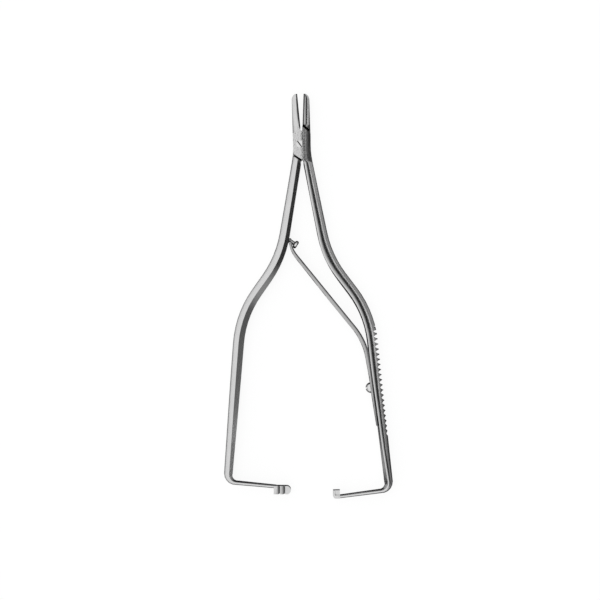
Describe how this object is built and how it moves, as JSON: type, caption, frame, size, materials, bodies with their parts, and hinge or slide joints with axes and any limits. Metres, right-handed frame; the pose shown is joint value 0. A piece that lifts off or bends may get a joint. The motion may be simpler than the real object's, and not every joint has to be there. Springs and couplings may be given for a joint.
{
  "type": "surgical needle holder",
  "caption": "Spring-handled surgical needle holder with narrow lined jaws, a screwed lap joint, bowed grips, a leaf spring and inward arms that end in a toothed block and a hook.",
  "frame": {"origin": "on the pivot screw's axis, at the flat back of the lap joint that the tool lies on", "axes": "+Y from the pivot towards the jaws, +Z from the back to the front, +X to the right seen from the front"},
  "size_m": [0.0666, 0.16, 0.0056],
  "materials": {
    "satin_steel": "forged stainless steel, satin ground",
    "hard_insert": "sintered hard metal, fine cross-cut",
    "turned_steel": "turned stainless steel, polished",
    "spring_steel": "hardened spring steel, polished flat"
  },
  "bodies": {
    "front_arm": {"front_half": "satin_steel", "left_jaw_insert": "hard_insert", "leaf_spring": "spring_steel", "spring_screw": "turned_steel"},
    "back_arm": {"back_half": "satin_steel", "right_jaw_insert": "hard_insert", "pivot_screw": "turned_steel", "spring_stud": "turned_steel"}
  },
  "joints": [
    {"name": "pivot", "type": "hinge", "parent": "front_arm", "child": "back_arm", "pos_m": [0, 0, 0.0028], "axis": [0, 0, 1], "range_deg": [0, 7], "stiffness_Nm_per_rad": 0.5, "deforming": ["leaf_spring"]}
  ]
}
